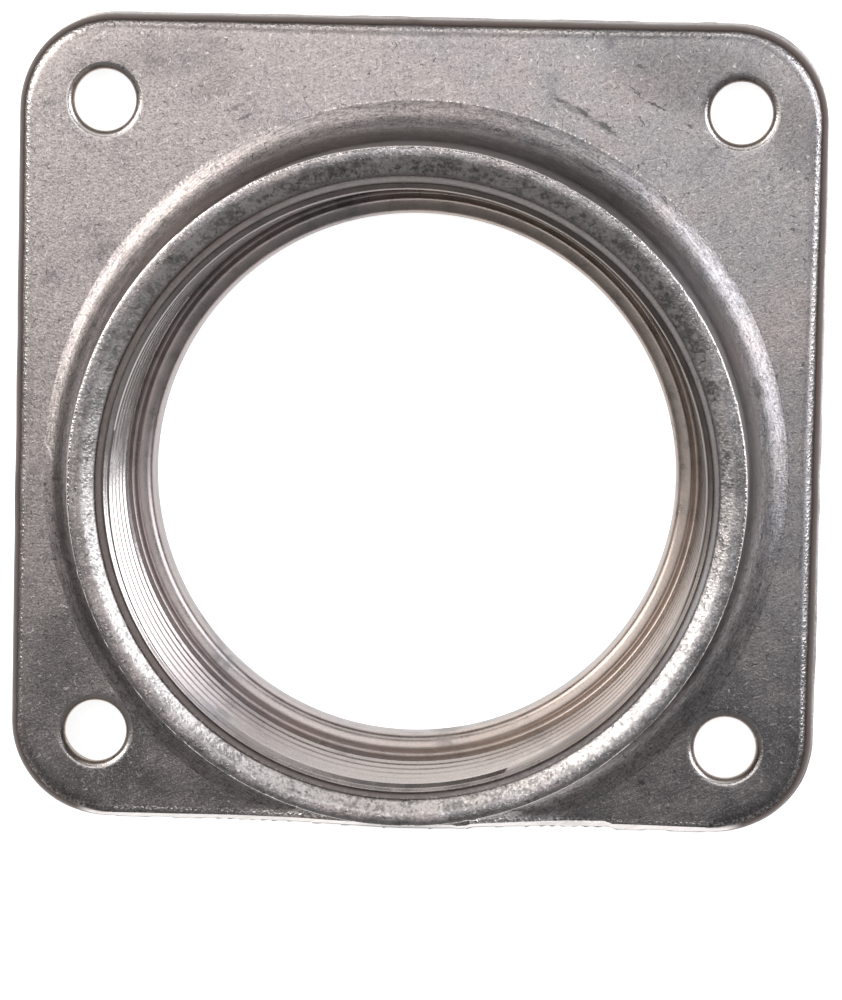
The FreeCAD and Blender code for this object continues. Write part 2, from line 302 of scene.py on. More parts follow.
# How many rings the round flange has in each run, and their spacing before they are pushed out
PLATE_RINGS = 12
ROUND_RINGS = 7
SIDE_RINGS = 3
BACK_RINGS = 4
FLANGE_STEP = 1.0 * MM


def flange_profile(s):
    """Round flange rings that follow the collar's: plate, rounded edge, side, flash and back."""
    foot = s.flare_end
    points = [(foot + 0.1 * FLANGE_STEP, s.plate_thickness)]
    points += [(foot + FLANGE_STEP * k, s.plate_thickness) for k in range(1, PLATE_RINGS + 1)]
    edge = foot + FLANGE_STEP * PLATE_RINGS
    points += arc(edge, s.plate_thickness - s.edge_round, s.edge_round, 90, 0, ROUND_RINGS)[1:]
    low = edge + s.edge_round
    points += straight(points[-1], (low, FLASH_TOP), SIDE_RINGS)
    points += [(low + FLASH_STEP / 2, 0.57 * MM), (low + FLASH_STEP, 0.53 * MM)]
    points += [(low + FLASH_STEP, 0.1 * MM), (low + FLASH_STEP / 2, 0.0)]
    points += straight(points[-1], (s.throat_radius + BACK_ROUND, 0.0), BACK_RINGS)
    return points


def outline_reach(angle, half, corner, axis_y):
    """Distance from the collar's axis to the rounded square, along an angle."""
    dx, dy = math.cos(angle), math.sin(angle)
    reach = 1.0
    for step, start in ((dx, 0.0), (dy, axis_y)):
        if abs(step) > 1e-9:
            reach = min(reach, (math.copysign(half, step) - start) / step)
    px, py = reach * dx, axis_y + reach * dy
    core = half - corner
    if abs(px) <= core or abs(py) <= core:
        return reach
    cx, cy = math.copysign(core, px), math.copysign(core, py) - axis_y
    along = cx * dx + cy * dy
    across = cx * cx + cy * cy - corner * corner
    return along + math.sqrt(max(along * along - across, 0.0))


class PlateShaper:
    """Pushes the round flange's rings out to the plate's outline, column by column."""

    def __init__(self, s):
        self.s = s
        self.middle_r, self.foot_z, _ = flare_arc(s)
        self.edge = s.flare_end + FLANGE_STEP * PLATE_RINGS

    def flare_height(self, r):
        """Height of the sweep at a radius, and of the flat plate outside it."""
        s = self.s
        if r >= s.flare_end:
            return s.plate_thickness
        inward = min(self.middle_r - r, s.flare_radius)
        return self.foot_z - math.sqrt(s.flare_radius**2 - inward**2)

    def ragged(self, angle, size, seed):
        """Unevenness along the outline."""
        return sway((math.cos(angle), math.sin(angle), 0.0), size, seed)

    def outline(self, angle, height):
        """Reach of the plate's side at a height, with the trimmed lower edge."""
        s = self.s
        half = s.half_width - s.flash_width - height * math.tan(s.side_draft)
        reach = outline_reach(angle, half, s.corner_radius - s.flash_width, s.collar_y)
        reach += 0.05 * MM * self.ragged(angle, 0.12, 3.0)
        x = reach * math.cos(angle)
        if math.sin(angle) < 0 and 6.0 * MM < x < FACET_STEP:
            reach -= 0.18 * MM
        return reach

    def flash(self, angle):
        """Share of the flash that is left standing along the outline."""
        x = outline_reach(angle, self.s.half_width, self.s.corner_radius, self.s.collar_y) * math.cos(angle)
        share = 0.7 + 0.3 * self.ragged(angle, 0.05, 9.0)
        for middle in (19.8 * MM, 27.8 * MM):
            if math.sin(angle) > 0:
                share = max(share, 1.0 - ((x - middle) / (1.7 * MM)) ** 2)
        return share

    def facet(self, x):
        """Width of the cut facet along the lower side, which grows from the collar to the right."""
        if x > FACET_STEP:
            return 0.8 * MM
        if x > 5.0 * MM:
            return (0.45 + 0.5 * (x / MM - 5.0) / 15.3) * MM
        return 0.6 * MM

    def trimmed(self, angle, over, z):
        """Flattens the edge's round to a cut facet along the lower side."""
        s = self.s
        x = outline_reach(angle, s.half_width, s.corner_radius, s.collar_y) * math.cos(angle)
        if math.sin(angle) > 0 or abs(x) > FACET_REACH:
            return over, z
        cut = min((FACET_REACH - abs(x)) / (3 * MM), 1.0)
        share = 1 - math.acos(min(over / s.edge_round, 1.0)) / (math.pi / 2)
        wide = self.facet(x)
        start = s.edge_round - wide
        flat_over = start * min(share / 0.25, 1.0) + wide * max((share - 0.25) / 0.75, 0.0)
        flat_z = s.plate_thickness - wide * max((share - 0.25) / 0.75, 0.0)
        return over + (flat_over - over) * cut, z + (flat_z - z) * cut

    def place(self, co):
        """New place of one vertex of the round flange."""
        s = self.s
        x, y = co.x, co.y - s.collar_y
        r, z = math.hypot(x, y), co.z
        throat_edge = s.throat_radius + BACK_ROUND
        on_back = z < 1e-6 and r > throat_edge - 1e-6
        if not on_back and (r < s.flare_wall + 1e-6 or z > self.foot_z - 1e-6):
            return co
        angle = math.atan2(y, x)
        top_reach = self.outline(angle, s.plate_thickness) - s.edge_round
        if r <= s.flare_end + 1e-6 and z > 1e-4:
            share = (s.flare_end - r) / (s.flare_end - s.flare_wall)
            new_r = min(r, top_reach - 0.5 * MM - 0.9 * MM * share)
            new_z = self.flare_height(new_r)
        elif z > s.plate_thickness - 1e-6:
            flare_end = min(s.flare_end, top_reach - 0.5 * MM)
            share = (r - s.flare_end) / (FLANGE_STEP * PLATE_RINGS)
            new_r = flare_end + (top_reach - flare_end) * share
            new_z = self.flare_height(new_r)
        elif r > self.edge:
            over = r - self.edge
            if over < s.edge_round - 1e-7:
                over, z = self.trimmed(angle, over, z)
            lift = self.flare_height(top_reach) - s.plate_thickness
            rise = max(z - FLASH_TOP, 0.0) / (s.plate_thickness - FLASH_TOP)
            new_z = z + lift * rise
            side = self.outline(angle, z)
            if over <= s.edge_round + 1e-7:
                lean = side - self.outline(angle, s.plate_thickness)
                new_r = min(top_reach + over + lean * rise, side)
            else:
                stand = (over - s.edge_round) / FLASH_STEP * s.flash_width
                new_r = side + stand * self.flash(angle)
        else:
            share = (r - throat_edge) / (self.edge + s.edge_round + FLASH_STEP / 2 - throat_edge)
            new_r = throat_edge + (self.outline(angle, 0.0) - throat_edge) * share
            new_z = z
        return Vector((new_r * math.cos(angle), s.collar_y + new_r * math.sin(angle), new_z))


# Small burrs on the rim: angle in degrees and size in millimetres
BURRS = ((-163.8, 0.16), (-77.0, 0.2), (15.5, 0.12), (118.0, 0.08))


def roughen(s):
    """Returns a function that gives each place of the casting its small unevenness."""

    def move(co):
        x, y, z = co.x, co.y - s.collar_y, co.z
        r = math.hypot(x, y)
        if z < 0.7 * MM or r < 1e-6:
            return co
        out = Vector((x / r, y / r, 0.0))
        swell = 0.03 * MM * sway(co, 7 * MM, 1.0)
        shift = Vector((0, 0, swell))
        on_rim = z > s.rim_height - 1.2 * MM
        if on_rim:
            outer = max(0.0, 1 - abs(r - s.rim_radius) / (0.3 * MM))
            inner = max(0.0, 1 - abs(r - 30.1 * MM) / (0.9 * MM))
            fine = sway(co, 0.55 * MM, 5.0)
            shift = Vector((0, 0, min(0.02 * MM, 0.5 * swell)))
            shift += outer * (0.06 * MM * min(fine, 0.0)) * (out + Vector((0, 0, 1)))
            shift += inner * Vector((0, 0, 0.03 * MM * sway(co, 0.8 * MM, 8.0)))
            shift.y -= drift(s, r, z)
            angle = math.degrees(math.atan2(y, x))
            for place, size in BURRS:
                near = max(0.0, 1 - abs(angle - place) / 0.7)
                shift += outer * near * size * MM * out
        elif z > flare_arc(s)[1] and r > 31 * MM:
            shift = out * (0.03 * MM * sway(co, 5 * MM, 4.0))
        elif r < 29.85 * MM:
            shift = Vector((0, -drift(s, r, z), 0))
        return co + shift

    return move


# The operators


class HUB_OT_casting(bpy.types.Operator):
    """Turn the collar and its flange, and push the flange out to the square plate"""

    bl_idname = "hub.casting"
    bl_label = "Casting"

    def execute(self, context):
        s = context.scene.hub_sizes
        piece = lathe(collar_profile(s) + flange_profile(s), s.collar_y, COLUMNS)
        piece.name = PIECE
        piece.data.name = PIECE
        reshape(piece, PlateShaper(s).place)
        reshape(piece, roughen(s))
        edit_all()
        bpy.ops.mesh.remove_doubles(threshold=1e-6)
        bpy.ops.mesh.normals_make_consistent(inside=False)
        bpy.ops.object.mode_set(mode="OBJECT")
        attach(piece, "root")
        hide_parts("hub_casting")
        return {"FINISHED"}


class HUB_OT_bolt_holes(bpy.types.Operator):
    """Cut the four bolt holes with rounded mouths"""

    bl_idname = "hub.bolt_holes"
    bl_label = "Bolt holes"

    def execute(self, context):
        s = context.scene.hub_sizes
        hole, mouth, top = s.bolt_hole_radius, s.bolt_hole_mouth, s.plate_thickness
        back = s.bolt_hole_back
        points = [(back + 0.3 * MM, -0.3 * MM), (back + 0.15 * MM, 0.1 * MM), (back, 0.35 * MM)]
        points += [(back - 0.2 * MM, 2.4 * MM), (hole + 0.06 * MM, 3.3 * MM)]
        points += arc(hole + mouth, top - mouth, mouth, 180, 96, 10)
        last_r, last_z = points[-1]
        points += [(last_r + 0.6 * MM, last_z + 0.062 * MM), (last_r + 0.8 * MM, top + 3 * MM)]
        cutter = lathe(points, 0.0, HOLE_COLUMNS)
        close_ends()
        cutters = [cutter]
        for _ in range(3):
            pick(cutter)
            bpy.ops.object.duplicate()
            cutters.append(context.object)
        corners = [(1, 1), (-1, 1), (-1, -1), (1, -1)]
        for each, (side_x, side_y) in zip(cutters, corners):
            each.location = (side_x * s.bolt_offset, side_y * s.bolt_offset, 0)
        start_clean()
        for each in cutters:
            each.select_set(True)
        context.view_layer.objects.active = cutter
        bpy.ops.object.join()
        bpy.ops.object.transform_apply(location=True)
        apply_cut(bpy.data.objects[PIECE], cutter)
        return {"FINISHED"}


# The thread cutter: its reach inside the bore, the flat at its tip, the run over which it fades out
# at each end, and its number of turns
CUTTER_REACH = 0.12 * MM
CUTTER_TIP = 0.1 * MM
CUTTER_FADE = 1.1 * MM
CUTTER_TURNS = 6


class HUB_OT_thread(bpy.types.Operator):
    """Cut the tapered conduit thread into the bore"""

    bl_idname = "hub.thread"
    bl_label = "Thread"

    def execute(self, context):
        s = context.scene.hub_sizes
        inner = s.thread_radius - CUTTER_REACH
        deep = s.thread_depth + CUTTER_REACH
        base = 2 * deep * math.tan(math.radians(30)) + CUTTER_TIP
        start_clean()
        bpy.ops.mesh.primitive_plane_add(size=1, rotation=(math.pi / 2, 0, 0))
        cutter = context.object
        bpy.ops.object.transform_apply(rotation=True)
        edit_all()
        bpy.ops.transform.resize(value=(deep, 1, base))
        bpy.ops.transform.translate(value=(inner + deep / 2, 0, 0))
        select_where(cutter, lambda co: co.x > inner + deep / 2)
        bpy.ops.transform.resize(value=(1, 1, CUTTER_TIP / base), center_override=(0, 0, 0))
        bpy.ops.mesh.select_all(action="SELECT")
        bpy.ops.mesh.delete(type="ONLY_FACE")
        bpy.ops.object.mode_set(mode="OBJECT")
        cutter.location = (0, s.collar_y, THREAD_FOOT - 0.2 * MM)
        screw = cutter.modifiers.new("helix", "SCREW")
        screw.axis = "Z"
        screw.angle = 2 * math.pi
        screw.screw_offset = s.thread_pitch
        screw.iterations = CUTTER_TURNS
        screw.steps = COLUMNS // 2
        screw.render_steps = COLUMNS // 2
        bpy.ops.object.modifier_apply(modifier=screw.name)
        bpy.ops.object.transform_apply(location=True)
        mouth = s.rim_height - THREAD_DROP
        tall = mouth - THREAD_FOOT

        def taper(co):
            x, y = co.x, co.y - s.collar_y
            r = math.hypot(x, y)
            rise = (co.z - THREAD_FOOT) / tall
            depth = 0.8 + 0.2 * rise
            depth *= min(max((mouth + 0.5 * MM - co.z) / CUTTER_FADE, 0.04), 1.0)
            depth *= min(max((co.z - THREAD_FOOT) / CUTTER_FADE, 0.04), 1.0)
            new_r = inner + (r - inner) * depth - (s.thread_radius - s.thread_foot) * (1 - rise)
            place = s.collar_y - drift(s, s.thread_radius, co.z)
            return Vector((x * new_r / r, place + y * new_r / r, co.z))

        reshape(cutter, taper)
        close_ends()
        apply_cut(bpy.data.objects[PIECE], cutter)
        return {"FINISHED"}


# Shader nodes


class Wire:
    """A shader socket that can be used in sums, and the maker of every node."""

    def __init__(self, tree, socket):
        self.tree = tree
        self.socket = socket

    def node(self, kind, settings=None, values=None, output=0):
        """Adds a node: its type, its settings, its sockets' values or links, and the output to use."""
        made = self.tree.nodes.new(kind)
        for key, value in (settings or {}).items():
            setattr(made, key, value)
        for key, value in (values or {}).items():
            if isinstance(value, Wire):
                self.tree.links.new(value.socket, made.inputs[key])
            else:
                made.inputs[key].default_value = value
        return Wire(self.tree, made.outputs[output]) if len(made.outputs) else made

    def math(self, operation, *values):
        """A Math node on this value and others."""
        return self.node("ShaderNodeMath", {"operation": operation}, dict(enumerate(values)))

    def scaled(self, factor, added):
        """This value times a factor, plus another value."""
        return self.math("MULTIPLY_ADD", self, factor, added)

    def __add__(self, other):
        return self.math("ADD", self, other)

    def __radd__(self, other):
        return self.math("ADD", other, self)

    def __sub__(self, other):
        return self.math("SUBTRACT", self, other)

    def __rsub__(self, other):
        return self.math("SUBTRACT", other, self)

    def __mul__(self, other):
        return self.math("MULTIPLY", self, other)

    def __rmul__(self, other):
        return self.math("MULTIPLY", other, self)

    def __truediv__(self, other):
        return self.math("DIVIDE", self, other)

    def __pow__(self, other):
        return self.math("POWER", self, other)

    def __abs__(self):
        return self.math("ABSOLUTE", self)

    def over(self, floor):
        """The greater of this and another value."""
        return self.math("MAXIMUM", self, floor)

    def under(self, roof):
        """The smaller of this and another value."""
        return self.math("MINIMUM", self, roof)

    def ramp(self, low, high):
        """0 below low, 1 above high and a smooth change between; a high below low turns it round."""
        return self.node(
            "ShaderNodeMapRange",
            {"interpolation_type": "SMOOTHSTEP", "clamp": True},
            {0: self, 1: low, 2: high, 3: 0.0, 4: 1.0},
        )

    def band(self, low, high, soft):
        """1 between low and high, with soft ends."""
        return self.ramp(low - soft, low + soft) * self.ramp(high + soft, high - soft)

    def tone(self, start, end):
        """A colour between two others, by this value."""
        return self.node("ShaderNodeMix", {"data_type": "RGBA"}, {0: self, 6: start, 7: end}, 2)


def opaque(colour):
    """A colour property as a socket's value."""
    return (colour[0], colour[1], colour[2], 1.0)


# Single marks on the skin: place in millimetres, angle in degrees, length, width and strength
DARK_MARKS = (
    (20.8, 32.7, -37, 2.6, 0.22, 0.8), (22.7, 31.5, -25, 2.7, 0.3, 0.9), (21.3, 29.8, -56, 1.7, 0.22, 0.8),
    (25.9, 29.7, -31, 1.0, 0.45, 0.8), (21.0, 35.3, -4, 1.3, 0.4, 0.8), (-18.1, 30.4, 28, 2.4, 0.5, 0.5),
    (-17.2, 29.6, 32, 2.0, 0.4, 0.6), (36.6, -19.2, -41, 1.7, 0.14, 0.5), (22.9, -34.5, -7, 0.8, 0.5, 0.9),
    (-31.0, 15.4, -21, 3.3, 0.13, 0.6), (-36.0, -21.6, -73, 1.4, 0.2, 0.7), (13.5, 31.7, -25, 2.0, 0.5, 0.75),
    (15.6, 30.7, -32, 2.2, 0.6, 0.85), (17.8, 29.4, -28, 2.0, 0.7, 0.85),
)
BRIGHT_MARKS = (
    (-35.9, -3.2, -68, 2.8, 0.24, 0.9), (-35.4, -2.7, -80, 1.5, 0.16, 0.7), (38.0, -19.7, 4, 2.0, 0.16, 0.6),
    (-37.4, -21.1, 41, 1.5, 0.18, 0.7), (11.4, -33.8, 55, 1.5, 0.16, 0.7), (-34.2, -18.6, -40, 1.2, 0.3, 0.6),
)
# Soft smudges, in the same order; the broad ones are painted shade that darkens the plate near its corners
# and lower side
SMUDGES_AND_SHADE = (
    (14.6, 31.0, -28, 3.4, 1.0, 0.9), (17.2, 29.6, -30, 4.4, 1.2, 0.9), (33.2, 4.4, -66, 2.8, 1.3, 1.0),
    (-34.5, -24.0, 70, 16.0, 9.0, 0.7), (-20.0, 33.0, 35, 9.0, 3.6, 0.45),
    (30.0, -28.0, 20, 12.0, 8.0, 0.35), (-24.0, -36.0, 0, 12.0, 3.5, 0.5),
    (26.0, 34.5, -15, 22.0, 10.0, 0.9), (36.0, 29.0, -80, 11.0, 6.0, 0.7),
    (-24.0, 35.5, 10, 16.0, 6.0, 0.5),
)


def cast_metal(s, f):
    """Tumbled die-cast skin: satin grey with fine grain, dark ticks and smudges, edges rubbed bright; painted
    shade on steep walls, grooves, the rounded plate edge, the lower plate and broad smudges, and painted
    highlight on the lower-left side of the thread and lead-in.
    """
    tints = (f.warm_metal, f.cool_metal, f.stain_and_shade, f.bare_metal_and_highlight, f.shade, f.border_shade, f.throat_skin)
    warm, cool, stain_and_shade, bare_and_highlight, shade, border_shade, brown = [opaque(colour) for colour in tints]
    material = bpy.data.materials.new("cast_metal_skin")
    material.use_nodes = True
    tree = material.node_tree
    tree.nodes.clear()
    maker = Wire(tree, None)
    place = maker.node("ShaderNodeTexCoord", output="Object")
    faced = Wire(tree, place.socket.node.outputs["Normal"])
    place = maker.node("ShaderNodeVectorMath", {"operation": "SCALE"}, {0: place, 3: 1000.0})

    def parts(vector):
        """The three numbers of a vector."""
        split = maker.node("ShaderNodeSeparateXYZ", None, {0: vector})
        return [Wire(tree, split.socket.node.outputs[k]) for k in range(3)]

    def cloud(size, detail, rough=0.5, vector=place, flat=False):
        """Soft noise with features of about a size."""
        return maker.node(
            "ShaderNodeTexNoise",
            {"noise_dimensions": "2D" if flat else "3D"},
            {"Vector": vector, "Scale": 1.0 / size, "Detail": detail, "Roughness": rough},
        )

    def turned(vector, angle, along, across):
        """Coordinates turned to an angle, and measured in a length and a width."""
        return maker.node(
            "ShaderNodeMapping",
            {"vector_type": "TEXTURE"},
            {"Vector": vector, "Rotation": (0, 0, math.radians(angle)), "Scale": (along, across, 1000.0)},
        )

    def ticks(cell, long, wide, shift, share):
        """Short scratches at any angle, at most one in each cell, for a share of the cells."""
        spot = maker.node("ShaderNodeVectorMath", {"operation": "ADD"}, {0: jitter, 1: (shift, -shift, 0.0)})
        seed = maker.node(
            "ShaderNodeTexVoronoi",
            {"voronoi_dimensions": "2D"},
            {"Vector": spot, "Scale": 1.0 / cell},
            "Position",
        )
        chance, turn, size = parts(Wire(tree, seed.socket.node.outputs["Color"]))
        away = maker.node("ShaderNodeVectorMath", {"operation": "SUBTRACT"}, {0: spot, 1: seed})
        away_x, away_y, _ = parts(away)
        turn = turn * math.pi
        cosine, sine = turn.math("COSINE", turn), turn.math("SINE", turn)
        along = (away_x * cosine + away_y * sine) / (long * (0.3 + 0.35 * size))
        across = (away_y * cosine - away_x * sine) / (wide * 0.5)
        return (along * along + across * across).ramp(1.0, 0.3) * chance.ramp(1.0 - share, 1.05 - share)

    x, y, z = parts(place)
    _, faced_y, faced_up = parts(faced)
    out_y = y - s.collar_y / MM
    r = (x * x + out_y * out_y) ** 0.5
    east, north = x / r, out_y / r
    west, south = -1.0 * east, -1.0 * north
    core = (s.half_width - s.corner_radius) / MM
    over_x = abs(x) - core
    over_y = abs(y) - core
    past_x, past_y = over_x.over(0.0), over_y.over(0.0)
    corner = s.corner_radius / MM
    inset = corner - (past_x * past_x + past_y * past_y) ** 0.5 - over_x.over(over_y).under(0.0)
    rim_z = s.rim_height / MM

    grain = cloud(0.17, 1.0, 0.6)
    lumps = cloud(0.5, 1.0, 0.5)
    mottle = cloud(2.2, 3.0, 0.6)
    patches = cloud(8.0, 3.0, 0.6)
    brushing = cloud(1.0, 1.0, 0.5, turned(place, 24, 3.2, 0.14), flat=True)
    beads = cloud(0.28, 1.0, 0.5)
    around = maker.node("ShaderNodeCombineXYZ", None, {0: east * 30.0, 1: north * 30.0, 2: r * 6.0})
    rings = cloud(1.0, 1.0, 0.6, around)

    jitter_x, jitter_y = lumps.scaled(0.7, x - 0.35), beads.scaled(0.4, mottle.scaled(1.2, y - 0.8))
    jitter = maker.node("ShaderNodeCombineXYZ", None, {0: jitter_x, 1: jitter_y})

    # Zones of the casting
    front = z.ramp(3.2, 4.2)
    on_plate = front * z.ramp(5.8, 4.9) * r.ramp(36.35, 36.55)
    sweep = front * z.ramp(rim_z - 1.0, rim_z - 2.0) * r.ramp(32.2, 32.4) * r.ramp(36.55, 36.45)
    crease = r.band(36.38, 36.6, 0.06) * front
    fore = faced_up.ramp(-0.97, -0.85)
    steep = faced_up.ramp(0.84, 0.6) * fore
    outside = r.ramp(33.4, 33.8)
    bore = r.ramp(29.6, 29.3)
    by_rim = z.ramp(rim_z - 1.5, rim_z - 1.1)
    facet = faced_y.ramp(-0.45, -0.6) * faced_up.ramp(0.4, 0.55)
    facet = facet * y.ramp(-37.8, -38.2) * abs(x).ramp(33.0, 31.0)
    edge = faced_up.ramp(0.9, 0.74) * fore * inset.ramp(2.2, 1.8) * outside
    flash = z.ramp(0.8, 0.55) * inset.ramp(0.55, 0.3)
    edge_line = inset.band(1.15, 1.6, 0.15) * front * outside
    hole_x, hole_y = abs(x) - s.bolt_offset / MM, abs(y) - s.bolt_offset / MM
    hole_r = (hole_x * hole_x + hole_y * hole_y) ** 0.5
    mouth = hole_r.band(3.3, 3.75, 0.08) * front
    rim_edge = r.band(31.82, 32.3, 0.08) * z.ramp(rim_z - 0.5, rim_z - 0.2)
    shoulder = r.band(29.6, 30.7, 0.3) * by_rim
    ledge = bore * z.band(rim_z - 2.72, rim_z - 2.46, 0.03)
    inside = bore * z.ramp(rim_z - 2.4, rim_z - 2.6) * fore
    thread = inside * z.ramp(5.1, 5.5)
    throat = inside - thread
    groove = r.band(27.1, 27.95, 0.05) * z.ramp(5.3, 5.0)
    brow = steep * r.band(28.92, 29.6, 0.1) * z.ramp(rim_z - 2.5, rim_z - 2.3)
    worn = r.band(29.6, 30.9, 0.2) * by_rim
    land = r.band(30.9, 31.8, 0.25) * z.ramp(rim_z - 0.8, rim_z - 0.4)
    # Direction masks for painting by side: toward, facing and lit pick the left and lower sides, which get
    # painted highlight, with painted shade on the far side; lee is painted shade on the sweep's left side;
    # low_right sets where the steep walls get less painted shade and where the ledge is painted dark
    toward = west.over(south)
    facing = west.ramp(0.74, 0.97).over(south.ramp(0.8, 1.0) * 0.4)
    lit = toward.ramp(0.2, 0.7) * (1 - 0.7 * south.ramp(0.75, 0.97))
    lee = west.ramp(0.55, 0.95) * r.ramp(35.7, 35.2) * sweep
    low_right = (east - north).ramp(1.0, 1.35)

    # Skin, from warm to cool, with stains, painted shade on the lower plate, steep walls, grooves and the
    # thread's far side, and painted light and shade on the lead-in
    cool_side = ((patches - 0.5) * 2.4 + x * 0.012 + r.band(30.5, 32.0, 0.3) * 0.25).ramp(-0.35, 0.65)
    skin = cool_side.tone(warm, cool)
    skin = ((throat + thread * 0.8) * x.ramp(-16.0, 10.0) * 0.85).tone(skin, brown)
    stained = patches.ramp(0.54, 0.7) * mottle.ramp(0.42, 0.6)
    # Painted shade: the lower part of the plate is darker, broken up by patches
    lower_plate_shade = y.ramp(-10.0, -30.0) * on_plate * (0.35 + 0.4 * patches.ramp(0.35, 0.62))
    skin = (stained * 0.35).over(lower_plate_shade).over(mottle.ramp(0.58, 0.32) * 0.18).tone(skin, stain_and_shade)
    grainy = 1 - 0.7 * inside + 0.25 * x.ramp(-14.0, -30.0) * on_plate
    skin = (grain.ramp(0.5, 0.32) * grainy * 0.36).tone(skin, stain_and_shade)
    skin = (grain.ramp(0.54, 0.72) * grainy * 0.36).tone(skin, bare_and_highlight)
    streaks = on_plate * patches.ramp(0.62, 0.4)
    skin = (brushing.ramp(0.55, 0.75) * streaks * 0.14).tone(skin, stain_and_shade)
    skin = (brushing.ramp(0.44, 0.26) * streaks * 0.22).tone(skin, bare_and_highlight)
    skin = (lumps.ramp(0.48, 0.32) * grainy * 0.2).tone(skin, stain_and_shade)
    skin = (land * mottle.ramp(0.55, 0.4) * 0.4).tone(skin, stain_and_shade)
    # The lead-in is rubbed bright, painted lighter on its lit lower side and darker on its upper side
    skin = (worn * (0.5 + 0.25 * lit)).tone(skin, bare_and_highlight)
    skin = (worn * (lumps + mottle).ramp(1.12, 0.8) * (0.65 - 0.15 * lit)).tone(skin, stain_and_shade)
    skin = (land.over(worn) * beads.ramp(0.46, 0.34) * 0.3).tone(skin, stain_and_shade)
    skin = (rings.ramp(0.48, 0.3) * sweep * 0.4).tone(skin, stain_and_shade)
    skin = (rings.ramp(0.54, 0.72) * sweep * 0.35).tone(skin, bare_and_highlight)
    skin = (beads.ramp(0.47, 0.34) * sweep * 0.4).tone(skin, stain_and_shade)
    # Painted shade: the thread's right side, the ledge at the lower right, the sweep's left side, the steep
    # walls, the throat's lower wall and the groove; then the steep band under the lead-in on the left and
    # lower sides
    side_shade = thread * (1 - facing) * (0.25 * east.ramp(-0.75, -0.3) + 0.45 * east.ramp(0.1, 0.6))
    side_shade = side_shade.over(ledge * low_right * 0.9).over(lee * 0.6)
    steep_shade = steep * (0.95 - 0.15 * sweep - 0.75 * throat - 0.4 * thread - (0.5 - 0.2 * sweep) * low_right)
    steep_shade = steep_shade * (0.8 + 0.4 * beads)
    steep_shade = steep_shade.over(throat * z.ramp(3.9, 3.4) * 0.75)
    skin = steep_shade.over(groove * 0.1).over(side_shade).tone(skin, shade)
    skin = (brow * (0.3 + 1.2 * lumps) * toward.ramp(0.3, 0.7)).tone(skin, border_shade)

    # Edges rubbed bright, painted highlight on the thread's lower-left side and glints on the crease's far
    # side, and painted shade on the rounded plate edge outside them
    # rubbed holds real wear along the edges, plus painted highlight on the lower-left side of the thread and
    # ledge and painted glints on the crease's far side
    rubbed = (edge_line * beads.ramp(0.42, 0.62)).over(rim_edge * (0.55 + 0.45 * beads.ramp(0.45, 0.6)))
    cut_metal_and_highlight = (thread * (1 - steep * 0.6)).over(ledge) * facing
    rubbed = rubbed.over(worn.over(land) * beads.ramp(0.56, 0.68) * 0.7).over(cut_metal_and_highlight).over(mouth * 0.7)
    rubbed = rubbed.over(crease * beads.ramp(0.54, 0.64) * north.ramp(0.3, 0.8) * 0.8)
    skin = (hole_r.ramp(3.5, 3.3) * z.ramp(2.0, 3.0) * 0.7).tone(skin, brown)
    skin = (rubbed * 0.8).tone(skin, bare_and_highlight)
    # Painted shade on the plate's rounded edge, except on the cut facet
    skin = (edge * (1 - facet)).tone(skin, border_shade)
    skin = ((facet * (0.6 + 0.4 * brushing)).over(flash * 0.7)).tone(skin, bare_and_highlight)

    # Single marks
    def drawn(marks, heart=0.25):
        """The marks of a list, each an ellipse that fades out to its rim."""
        sheet = None
        for at_x, at_y, angle, long, wide, strength in marks:
            cosine, sine = math.cos(math.radians(angle)), math.sin(math.radians(angle))
            along = jitter_y.scaled(sine * 2 / long, -(at_x * cosine + at_y * sine) * 2 / long)
            along = jitter_x.scaled(cosine * 2 / long, along)
            across = jitter_y.scaled(cosine * 2 / wide, (at_x * sine - at_y * cosine) * 2 / wide)
            across = jitter_x.scaled(-sine * 2 / wide, across)
            mark = along.scaled(along, across * across).ramp(1.0, heart) * strength
            sheet = mark if sheet is None else sheet.over(mark)
        return sheet * front

    # The broad smudges darken parts of the plate as painted shade; the small ones are real smudges
    smudged_and_shaded = drawn(SMUDGES_AND_SHADE, 0.01)
    open_skin = front * (1 - inside) * (1 - edge)
    dark = ticks(1.25, 0.8, 0.16, 0.0, 0.22 + 0.4 * smudged_and_shaded) * open_skin * 0.75
    dark = dark.over(ticks(0.7, 0.4, 0.13, 31.0, 0.36) * open_skin * 0.6)
    dark = dark.over(smudged_and_shaded * lumps.ramp(0.45, 0.6) * 0.7).over(smudged_and_shaded * 0.45).over(drawn(DARK_MARKS))
    bright = ticks(0.9, 0.5, 0.14, 57.0, 0.35) * open_skin * on_plate * 0.65
    bright = drawn(BRIGHT_MARKS).over(bright)
    skin = dark.tone(skin, stain_and_shade)
    skin = bright.tone(skin, bare_and_highlight)

    rough = f.roughness + (mottle - 0.5) * 0.2 + stained * 0.1 - rubbed * 0.1
    rough = rough - inside * 0.04 - rim_edge * 0.08 + worn * 0.03
    fine = maker.node(
        "ShaderNodeBump", None, {"Strength": 0.7 - inside * 0.55, "Distance": 0.000025, "Height": grain}
    )
    lumped = edge_line.over(shoulder * 0.6).over(rim_edge) * 0.8 + 0.1 * (1 - inside)
    coarse = maker.node(
        "ShaderNodeBump", None, {"Strength": lumped, "Distance": 0.00006, "Height": beads, "Normal": fine}
    )
    shader = maker.node(
        "ShaderNodeBsdfPrincipled",
        None,
        {"Base Color": skin, "Metallic": 1.0, "Roughness": rough.over(0.18).under(0.75), "Normal": coarse},
    )
    maker.node("ShaderNodeOutputMaterial", None, {"Surface": shader})
    return material


